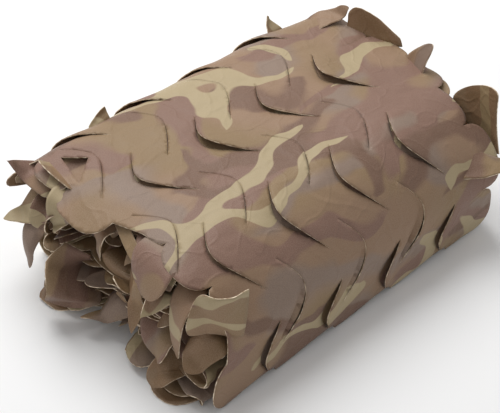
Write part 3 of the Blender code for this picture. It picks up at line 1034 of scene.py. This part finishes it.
leftEnd = [
    Loose((-0.148, 0.084, 0.106), (-0.166, 0.106, 0.107), (-0.184, 0.129, 0.108), (0.4, 0.8, 0.3),
          0.044, 0.0, 1.0, 0.2, 0.2, -4.0, 0.3),
    Loose((-0.152, 0.080, 0.090), (-0.176, 0.100, 0.086), (-0.197, 0.121, 0.078), (0.5, 0.7, 0.2),
          0.040, 0.1, 0.9, -0.2, 0.4, 10.0, 0.4),
    Loose((-0.150, 0.078, 0.100), (-0.182, 0.080, 0.096), (-0.193, 0.078, 0.070), (0.0, 1.0, 0.1),
          0.034, 0.6, 1.0, 0.0, 0.0, 6.0, 0.5),
    Loose((-0.160, 0.088, 0.080), (-0.183, 0.090, 0.066), (-0.186, 0.086, 0.030), (0.1, 1.0, 0.0),
          0.024, 0.3, 1.0, 0.2, 0.3, -10.0, -0.3),
    Loose((-0.146, 0.000, 0.072), (-0.164, -0.004, 0.066), (-0.174, -0.008, 0.042), (0.4, 0.9, 0.1),
          0.034, 0.0, 1.0, 0.3, 0.3, 10.0, 1.0, True),
    Loose((-0.172, 0.0473, 0.066), (-0.183, 0.047, 0.044), (-0.184, 0.046, 0.013), (0.88, -0.46, 0.12),
          0.052, 1.0, 0.5, 0.1, 0.15, 7.0, 0.9, True),
    Loose((-0.148, -0.004, 0.030), (-0.172, 0.000, 0.026), (-0.193, 0.007, 0.012), (0.2, 1.0, 0.0),
          0.038, 0.1, 0.9, 0.3, 0.0, -8.0, 0.8),
    Loose((-0.156, -0.030, 0.092), (-0.178, -0.040, 0.078), (-0.186, -0.052, 0.046), (0.2, 1.0, 0.1),
          0.026, 0.1, 1.0, 0.3, 0.2, 14.0, 0.5, True),
    Loose((-0.148, -0.046, 0.118), (-0.172, -0.050, 0.114), (-0.184, -0.059, 0.088), (0.1, 1.0, 0.1),
          0.046, 0.9, 0.9, 0.0, 0.0, -12.0),
    Loose((-0.150, -0.082, 0.104), (-0.177, -0.088, 0.086), (-0.182, -0.098, 0.044), (0.5, 0.8, 0.3),
          0.024, 0.6, 1.0, 0.3, 0.5, -12.0),
    Loose((-0.150, -0.056, 0.056), (-0.174, -0.058, 0.046), (-0.187, -0.062, 0.026), (0.1, 1.0, 0.1),
          0.048, 0.7, 0.8, -0.2, -0.2, -8.0, 0.2),
    Loose((-0.138, -0.128, 0.093), (-0.163, -0.120, 0.098), (-0.182, -0.106, 0.104), (0.05, 0.1, 1.0),
          0.046, 1.0, 1.0, 0.0, 0.0, -6.0, 0.3),
    Loose((-0.140, -0.108, 0.060), (-0.168, -0.106, 0.060), (-0.186, -0.098, 0.048), (0.1, 0.9, 0.4),
          0.034, 0.5, 1.0, -0.3, 0.0, 10.0, 0.5, True),
    Loose((-0.158, -0.086, 0.030), (-0.184, -0.081, 0.026), (-0.200, -0.077, 0.010), (0.1, 0.9, 0.5),
          0.028, 0.6, 1.0, 0.0, 0.2, 8.0, 0.3, True),
    Loose((-0.151, 0.080, 0.114), (-0.162, 0.084, 0.121), (-0.172, 0.088, 0.129), (-0.24, -0.97, 0.0),
          0.040, 0.35, 1.0, -0.35, 0.0, 4.0),
    Loose((-0.140, 0.036, 0.117), (-0.162, -0.006, 0.112), (-0.176, -0.050, 0.100), (-0.7, 0.2, -0.6),
          0.012, 0.9, 1.0, 0.0, 0.0, 0.0),
    Loose((-0.146, 0.060, 0.108), (-0.176, 0.056, 0.106), (-0.190, 0.050, 0.084), (0.1, 1.0, 0.1),
          0.036, 0.1, 1.0, 0.4, 0.1, 8.0, 0.4),
    Loose((-0.146, 0.024, 0.108), (-0.170, 0.022, 0.104), (-0.180, 0.018, 0.082), (0.1, 1.0, 0.1),
          0.026, 0.0, 1.0, -0.4, 0.1, -8.0, 0.3),
]
rightEnd = [
    Loose((0.196, 0.046, 0.108), (0.199, 0.050, 0.122), (0.202, 0.054, 0.142), (0.35, -0.9, 0.0),
          0.056, 0.45, 1.0, -0.3, 0.0, -6.0, 0.0, True),
    Loose((0.156, 0.106, 0.104), (0.178, 0.098, 0.122), (0.194, 0.086, 0.140), (-0.3, -1.0, 0.0),
          0.026, 0.3, 1.0, 0.2, 0.0, 8.0, 0.3),
    Loose((0.194, -0.006, 0.106), (0.198, -0.008, 0.122), (0.205, -0.014, 0.143), (-0.35, -0.94, 0.0),
          0.030, 0.35, 1.0, 0.25, 0.0, 8.0),
    Loose((0.160, -0.036, 0.104), (0.184, -0.040, 0.107), (0.199, -0.044, 0.112), (0.0, -1.0, 0.1),
          0.034, 0.8, 1.0, 0.0, 0.0, 8.0),
    Loose((0.150, -0.060, 0.094), (0.174, -0.063, 0.094), (0.190, -0.068, 0.100), (0.1, -1.0, 0.1),
          0.032, 0.8, 1.0, 0.0, 0.0, -8.0),
    Loose((0.192, -0.094, 0.064), (0.196, -0.080, 0.091), (0.201, -0.064, 0.120), (0.05, -1.0, 0.55),
          0.058, 1.0, 1.0, 0.3, 0.0, 5.0, 0.0, True),
    Loose((0.146, -0.112, 0.084), (0.166, -0.127, 0.084), (0.184, -0.137, 0.086), (-0.5, -0.6, -0.5),
          0.028, 0.3, 1.0, 0.2, 0.0, 10.0, 0.2),
]
backTips = [
    Loose((0.134, 0.118, 0.104), (0.133, 0.122, 0.116), (0.130, 0.126, 0.130), (1.0, 0.2, 0.0),
          0.020, 0.1, 1.0, 0.1, 0.0, 6.0, 0.3),
    Loose((-0.086, 0.116, 0.104), (-0.082, 0.121, 0.115), (-0.076, 0.126, 0.127), (1.0, -0.3, 0.0),
          0.022, 0.1, 1.0, 0.1, 0.0, 6.0, 0.3),
]


# The ranges from which leaves between the layers are drawn.
byChance = {
    "count": {-1: 60, 1: 40},
    "tries": 120,
    "large": 22,  # leaves of full size at each end, and after them the small ones
    "small": 0.58,
    "inside": 0.018,  # of a leaf's length, between the layers
    "wallMargin": 0.020,
    "settled": 0.965,  # height of the layers at the ends, as a share
    "hollowDepth": 0.01,  # past which leaves are short
    "hollowLength": 0.62,
    "place": (-2.0, 2.0),  # on the print
    "height": (-0.002, 0.002),
    "yaw": (-0.6, 0.6),
    "bend": (-1.7, 1.3),
    "roll": (-0.4, 0.4),
    "length": (0.046, 0.078),
    "width": (0.024, 0.050),
    "form": [0.0, 0.1, 0.3, 0.7, 1.0],
    "neck": (0.7, 1.0),
    "skew": (-0.4, 0.4),
    "twist": (-0.6, 0.6),
    "cup": (-10.0, 10.0),
    "crease": (-1.3, 1.3),
    "turned": 0.35,
}


def looseOutline(share, leaf):
    # half the leaf's width along it: straight sides and a tip with rounded corners
    shoulder = looseLeaves["shoulder"]
    neck = leaf.neck + (1 - leaf.neck) * smooth(share / shoulder)
    sides = 1 + (leaf.form - 1) * np.clip((share - shoulder) / (1 - shoulder), 0.0, 1.0)
    least, more = looseLeaves["rounding"]
    rounding = least + more * leaf.form if leaf.form < 1 else looseLeaves["squareRounding"]
    corner = np.sqrt(1 - np.clip((share - 1 + rounding) / rounding, 0.0, 1.0) ** 2)
    return leaf.width / 2 * neck * sides * corner


def looseForm(leaf):
    # points of a leaf in rows from root to tip, with their flat places
    steps, columns = looseLeaves["steps"], looseLeaves["columns"]
    share = 1 - (1 - np.linspace(0.0, 1.0, steps + 1)) ** looseLeaves["tipCrowding"]
    share[-1] = looseLeaves["lastRow"]
    share = share[:, None]
    root, middle, tip = (np.array(place) for place in (leaf.root, leaf.middle, leaf.tip))
    bend = 2 * middle - (root + tip) / 2
    centre = (1 - share) ** 2 * root + 2 * share * (1 - share) * bend + share**2 * tip
    ahead = (1 - share) * (bend - root) + share * (tip - bend)
    ahead /= np.linalg.norm(ahead, axis=1)[:, None]
    across = np.array(leaf.across) - (ahead @ np.array(leaf.across))[:, None] * ahead
    across /= np.linalg.norm(across, axis=1)[:, None]
    out = np.cross(across, ahead)
    turn = leaf.twist * share
    across, out = np.cos(turn) * across + np.sin(turn) * out, np.cos(turn) * out - np.sin(turn) * across
    place = np.linspace(-1.0, 1.0, columns + 1)[None, :] * looseOutline(share, leaf)
    place = place + leaf.skew * leaf.width * share**2
    cup = leaf.cup if abs(leaf.cup) > looseLeaves["leastCup"] else looseLeaves["leastCup"]
    length = np.linalg.norm(middle - root) + np.linalg.norm(tip - middle)
    wave = place / looseLeaves["wrinkleWidth"] + 9 * share + root[1] * 300
    wrinkle = looseLeaves["wrinkle"] * share * np.sin(wave)
    creased, rounding = 0.0, looseLeaves["creaseRound"]
    for k, (slope, at, amount) in enumerate(looseLeaves["creases"]):
        angle = slope + math.sin(root[2] * 900 + 5 * k + root[1] * 500)
        fold = math.cos(angle) * place - math.sin(angle) * (share - at) * length
        depth = amount * leaf.crease * smooth(2.5 * share)
        creased = creased + depth * (np.sqrt(fold**2 + rounding**2) - rounding)
    rise = (1 - np.cos(cup * place)) / cup + wrinkle + creased
    sideways = np.sin(cup * place) / cup
    points = centre[:, None] + across[:, None] * sideways[..., None] + out[:, None] * rise[..., None]
    flat = np.stack([share * length + 0 * place, place, 0 * place], axis=-1)
    return points.reshape(-1, 3), flat.reshape(-1, 3)


def looseFaces(turned):
    wide = looseLeaves["columns"] + 1
    faces = []
    for row in range(looseLeaves["steps"]):
        for column in range(looseLeaves["columns"]):
            first = row * wide + column
            face = (first, first + 1, first + wide + 1, first + wide)
            faces.append(face[::-1] if turned else face)
    return faces


def chanceLeaf(chance, side, size):
    # a leaf that comes out between two layers and bends up or down
    def draw(name):
        return chance.uniform(*byChance[name])

    below = chance.randrange(0, bundle["layers"] + 1)
    z = bundle["lowest"] + (below + 0.5) * bundle["pitch"] * byChance["settled"] + draw("height")
    margin = byChance["wallMargin"]
    front, back = (wallAt(z, bundle[name]) - margin for name in ("frontShoulder", "backShoulder"))
    y = chance.uniform(-front, back)
    hollow = float(hollowAt(y, z)) if side < 0 else 0.0
    start = bundle["length"] / 2 - byChance["inside"] - hollow
    yaw, bend, roll = draw("yaw"), draw("bend"), draw("roll")
    half = draw("length") / 2 * size
    if hollow > byChance["hollowDepth"]:
        half *= byChance["hollowLength"]
    ahead = Vector((side * math.cos(yaw), math.sin(yaw), 0.0))
    root = Vector((side * start, y, z))
    middle = root + ahead * half
    tip = middle + (ahead * math.cos(bend) + Vector((0.0, 0.0, math.sin(bend)))) * half
    across = Vector((ahead.y, -ahead.x, 0.0)) * math.cos(roll) + Vector((0.0, 0.0, math.sin(roll)))
    width = draw("width") * size
    form = chance.choice(byChance["form"])
    rest = [draw(name) for name in ("neck", "skew", "twist", "cup", "crease")]
    return Loose(root, middle, tip, across, width, form, *rest, chance.random() < byChance["turned"])


def fits(place):
    # whether a leaf stays above the surface and within the bundle's outline
    limitX, limitY = looseLeaves["limits"]
    shift = looseLeaves["footShift"] * place[:, 2]
    foot = np.interp(place[:, 1] + shift, looseLeaves["footY"], looseLeaves["footX"])
    if place[:, 2].min() < looseLeaves["floor"] or (place[:, 0] + shift + foot).min() < 0.0:
        return False
    return np.abs(place[:, 0]).max() <= limitX and np.abs(place[:, 1]).max() <= limitY


def meshTree(mesh):
    return BVHTree.FromPolygons([v.co for v in mesh.vertices], [face.vertices[:] for face in mesh.polygons])


def buildLeaves(plies):
    # the listed leaves, and others wherever they clear the layers and each other
    chance = random.Random(11)
    trees = [meshTree(ply.data) for ply in plies]
    points, flats, faces = [], [], []

    def add(leaf, mustClear):
        place, flat = looseForm(leaf)
        if mustClear and not fits(place):
            return False
        own = looseFaces(leaf.turned)
        tree = BVHTree.FromPolygons(place.tolist(), own)
        if mustClear and any(tree.overlap(other) for other in trees):
            return False
        place[:, 2] = np.maximum(place[:, 2], looseLeaves["floor"])
        faces.extend(tuple(len(points) * len(place) + i for i in face) for face in own)
        points.append(place)
        flats.append(flat + (chance.uniform(*byChance["place"]), chance.uniform(*byChance["place"]), 0.0))
        trees.append(tree)
        return True

    for leaf in leftEnd + rightEnd + backTips:
        add(leaf, False)
    for side, count in byChance["count"].items():
        found = 0
        for i in range(count):
            size = 1.0 if i < byChance["large"] else byChance["small"]
            found += any(add(chanceLeaf(chance, side, size), True) for _ in range(byChance["tries"]))
        print("free leaves on side", side, found)
    mesh = bpy.data.meshes.new("leaves")
    mesh.from_pydata(np.concatenate(points).tolist(), [], faces)
    printed = mesh.attributes.new("flat", "FLOAT_VECTOR", "POINT")
    printed.data.foreach_set("vector", np.concatenate(flats).ravel())
    mesh.shade_smooth()
    for material in materials:
        mesh.materials.append(material)
    return linked("netting_leaves", mesh)


def buildPly(ply, tree, path):
    leaves = {side: endLeaves(side, ply) for side in (-1, 1)}
    flat, faces = flatCloth(ply, leaves)
    mesh = bpy.data.meshes.new("flat " + ply["name"])
    points = np.concatenate([flat, np.zeros((len(flat), 1))], axis=1)
    mesh.from_pydata(points.tolist(), [], faces.tolist())
    for name, values in leafForm(flat, leaves, ply).items():
        mesh.attributes.new(name, "FLOAT", "POINT").data.foreach_set("value", values.astype(np.float32))
    draft = linked("draft", mesh)
    laid = draft.modifiers.new("folds", "NODES")
    laid.node_group = tree
    own = {"Floor": ply["floor"], "Print Shift": ply["shift"]}
    setInputs(laid, settled | own | {"Fold Path": path, "Cloth Material": materials[0]})
    evaluated = draft.evaluated_get(bpy.context.evaluated_depsgraph_get())
    folded = bpy.data.meshes.new_from_object(evaluated)
    bpy.data.objects.remove(draft)
    for material in materials[len(folded.materials):]:
        folded.materials.append(material)
    folded.shade_smooth()
    piece = linked("netting_" + ply["name"], folded)
    piece["flatWidth"] = round(float(np.ptp(flat[:, 0])), 3)
    piece["flatLength"] = round(clothLength, 3)
    piece["flatArea"] = sum(polygon.area for polygon in mesh.polygons)
    return piece


def finishSheet(piece, flatSize):
    thick = piece.modifiers.new("thickness", "SOLIDIFY")
    thick.thickness = sheetThickness
    thick.offset = 0.0
    thick.use_even_offset = False
    thick.material_offset = 1
    # the rims take the cut edge's colour, with its painted highlight
    thick.material_offset_rim = 2
    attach(piece, "root")
    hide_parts("netting")
    print(piece.name, len(piece.data.polygons), "faces a side, flat", flatSize)


def buildNetting():
    path = foldPathObject()
    tree = foldTree()
    plies = [buildPly(ply, tree, path) for ply in (outerPly, innerPly)]
    bpy.data.objects.remove(path)
    leaves = buildLeaves(plies)
    for ply in plies:
        finishSheet(ply, (ply["flatWidth"], ply["flatLength"]))
    area, strip = sum(polygon.area for polygon in leaves.data.polygons), looseLeaves["strip"]
    finishSheet(leaves, (strip, round(area / strip / looseLeaves["stripFilled"], 3)))


buildNetting()
print("netting folded")

studio = {
    "floorSize": 6.0,
    "floorTone": 0.9,
    "floorRoughness": 0.9,
    "keyPower": 22.0,
    "keySize": 1.3,
    "keyAzimuth": 168.0,
    "keyElevation": 60.0,
    "keyDistance": 1.6,
    "worldStrength": 0.50,
    "azimuth": -45.1733,
    "elevation": 40.6883,
    "distance": 1.5485,
    "roll": 2.2186,
    "aim": (-0.00903, 0.00182, 0.05),
    "lens": 123.05,
    "sensor": 36.0,
}


def direction(azimuth, elevation):
    a, e = math.radians(azimuth), math.radians(elevation)
    return Vector((math.sin(a) * math.cos(e), -math.cos(a) * math.cos(e), math.sin(e)))


def keyLight():
    light = bpy.data.lights.new("key", "AREA")
    light.shape = "DISK"
    light.size = studio["keySize"]
    light.energy = studio["keyPower"]
    lamp = linked("key", light)
    back = direction(studio["keyAzimuth"], studio["keyElevation"])
    lamp.location = back * studio["keyDistance"]
    lamp.rotation_mode = "QUATERNION"
    lamp.rotation_quaternion = back.to_track_quat("Z", "Y")


def makeStudio():
    bpy.ops.mesh.primitive_plane_add(size=studio["floorSize"])
    floor = bpy.context.object
    floor.name = "floor"
    material, _, shader = newMaterial("floor")
    tone = studio["floorTone"]
    shader.inputs["Base Color"].default_value = (tone, tone, tone, 1.0)
    shader.inputs["Roughness"].default_value = studio["floorRoughness"]
    floor.data.materials.append(material)
    keyLight()
    world = bpy.data.worlds.new("studio")
    bpy.context.scene.world = world
    world.use_nodes = True
    background = world.node_tree.nodes["Background"]
    background.inputs["Color"].default_value = (1.0, 1.0, 1.0, 1.0)
    background.inputs["Strength"].default_value = studio["worldStrength"]
    bpy.context.scene.view_settings.view_transform = "Standard"


def makeCamera():
    data = bpy.data.cameras.new("camera")
    data.lens = studio["lens"]
    data.sensor_width = studio["sensor"]
    camera = linked("camera", data)
    back = direction(studio["azimuth"], studio["elevation"])
    aim = (-back).to_track_quat("-Z", "Y").to_matrix().to_4x4()
    roll = Matrix.Rotation(math.radians(studio["roll"]), 4, "Z")
    place = Vector(studio["aim"]) + back * studio["distance"]
    camera.matrix_world = Matrix.Translation(place) @ aim @ roll
    bpy.context.scene.camera = camera


makeStudio()
makeCamera()
print("studio ready")
